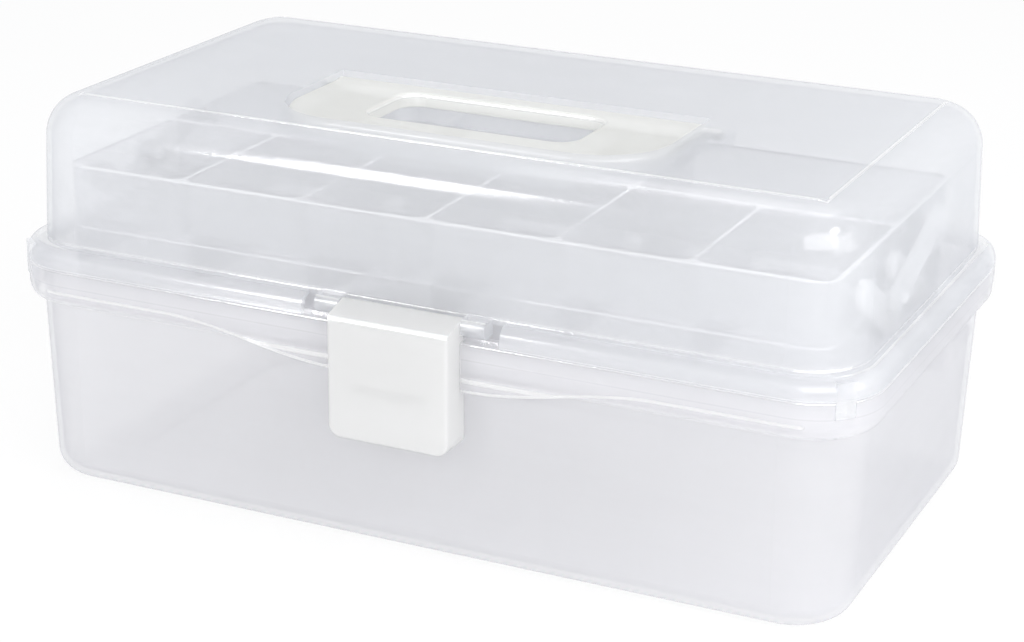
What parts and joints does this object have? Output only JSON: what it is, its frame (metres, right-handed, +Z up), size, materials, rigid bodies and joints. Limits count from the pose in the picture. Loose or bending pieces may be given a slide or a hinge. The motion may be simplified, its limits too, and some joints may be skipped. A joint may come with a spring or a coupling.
{
  "type": "compartment storage box",
  "caption": "Translucent oblong craft box with a latched hinged lid, a fold-flat handle and stacked divided trays that swing up on parallel arms.",
  "frame": {"origin": "centre of the bounding box's bottom: mid-length and mid-depth of the whole closed box, on the surface it stands on", "axes": "+X along the box's length, -Y towards the latch, +Z up"},
  "size_m": [0.33, 0.207, 0.1475],
  "materials": {
    "clear_lid": "clear frosted polypropylene, faintly blue",
    "clear_tub": "clear frosted polypropylene, faintly violet",
    "clear_tray": "clear polypropylene",
    "milky_latch": "milky satin polypropylene",
    "milky_handle": "milky satin polypropylene",
    "milky_arm": "milky satin polypropylene",
    "milky_rivet": "satin polypropylene",
    "pin_metal": "drawn wire"
  },
  "bodies": {
    "tub": {"base_tub": "clear_tub", "hinge_pin_left": "pin_metal", "hinge_pin_right": "pin_metal", "base_rivet_front_left": "milky_rivet", "base_rivet_front_right": "milky_rivet", "base_rivet_rear_left": "milky_rivet", "base_rivet_rear_right": "milky_rivet"},
    "lid": {"lid": "clear_lid", "link_rivet_left": "milky_rivet", "link_rivet_right": "milky_rivet"},
    "latch": {"latch": "milky_latch"},
    "handle": {"handle": "milky_handle"},
    "lower_tray": {"lower_tray": "clear_tray", "lower_rivet_front_left": "milky_rivet", "lower_rivet_front_right": "milky_rivet", "lower_rivet_rear_left": "milky_rivet", "lower_rivet_rear_right": "milky_rivet"},
    "upper_tray": {"upper_tray": "clear_tray", "link_stud_left": "milky_rivet", "link_stud_right": "milky_rivet", "upper_rivet_front_left": "milky_rivet", "upper_rivet_front_right": "milky_rivet", "upper_rivet_rear_left": "milky_rivet", "upper_rivet_rear_right": "milky_rivet"},
    "lid_link_left": {"lid_link_left": "milky_arm"},
    "front_arm_left": {"front_arm_left": "milky_arm"},
    "rear_arm_left": {"rear_arm_left": "milky_arm"},
    "lid_link_right": {"lid_link_right": "milky_arm"},
    "front_arm_right": {"front_arm_right": "milky_arm"},
    "rear_arm_right": {"rear_arm_right": "milky_arm"}
  },
  "joints": [
    {"name": "lid_hinge", "type": "hinge", "parent": "tub", "child": "lid", "pos_m": [0, 0.0995, 0.087], "axis": [-1, 0, 0], "range_deg": [0, 110]},
    {"name": "front_arm_left_pivot", "type": "hinge", "parent": "tub", "child": "front_arm_left", "pos_m": [-0.15, 0.038, 0.059], "axis": [-1, 0, 0], "range_deg": [0, 60.01]},
    {"name": "rear_arm_left_pivot", "type": "hinge", "parent": "tub", "child": "rear_arm_left", "pos_m": [-0.15, 0.072, 0.059], "axis": [-1, 0, 0], "range_deg": [0, 60.01]},
    {"name": "front_arm_right_pivot", "type": "hinge", "parent": "tub", "child": "front_arm_right", "pos_m": [0.15, 0.038, 0.059], "axis": [-1, 0, 0], "range_deg": [0, 60.01]},
    {"name": "rear_arm_right_pivot", "type": "hinge", "parent": "tub", "child": "rear_arm_right", "pos_m": [0.15, 0.072, 0.059], "axis": [-1, 0, 0], "range_deg": [0, 60.01]},
    {"name": "lower_tray_pivot", "type": "hinge", "parent": "rear_arm_right", "child": "lower_tray", "pos_m": [0, 0.02264, 0.0875], "axis": [-1, 0, 0], "range_deg": [-60.01, 0]},
    {"name": "upper_tray_pivot", "type": "hinge", "parent": "rear_arm_right", "child": "upper_tray", "pos_m": [0, -0.01807, 0.111], "axis": [-1, 0, 0], "range_deg": [-60.01, 0]},
    {"name": "lid_link_left_pivot", "type": "hinge", "parent": "lid", "child": "lid_link_left", "pos_m": [-0.1535, -0.0214, 0.101], "axis": [-1, 0, 0], "range_deg": [0, 53.58]},
    {"name": "lid_link_right_pivot", "type": "hinge", "parent": "lid", "child": "lid_link_right", "pos_m": [0.1535, -0.0214, 0.101], "axis": [-1, 0, 0], "range_deg": [0, 53.58]},
    {"name": "latch_hinge", "type": "hinge", "parent": "lid", "child": "latch", "pos_m": [0, -0.0915, 0.0912], "axis": [-1, 0, 0], "range_deg": [0, 95]},
    {"name": "handle_hinge", "type": "hinge", "parent": "lid", "child": "handle", "pos_m": [0, 0.00025, 0.14325], "axis": [-1, 0, 0], "range_deg": [0, 90]}
  ],
  "couplings": [
    {"joint": "front_arm_left_pivot", "follows": "lid_hinge", "ratio": 0.54546},
    {"joint": "rear_arm_left_pivot", "follows": "lid_hinge", "ratio": 0.54546},
    {"joint": "front_arm_right_pivot", "follows": "lid_hinge", "ratio": 0.54546},
    {"joint": "rear_arm_right_pivot", "follows": "lid_hinge", "ratio": 0.54546},
    {"joint": "lower_tray_pivot", "follows": "lid_hinge", "ratio": -0.54546},
    {"joint": "upper_tray_pivot", "follows": "lid_hinge", "ratio": -0.54546},
    {"joint": "lid_link_left_pivot", "follows": "lid_hinge", "ratio": 0.487},
    {"joint": "lid_link_right_pivot", "follows": "lid_hinge", "ratio": 0.487}
  ]
}
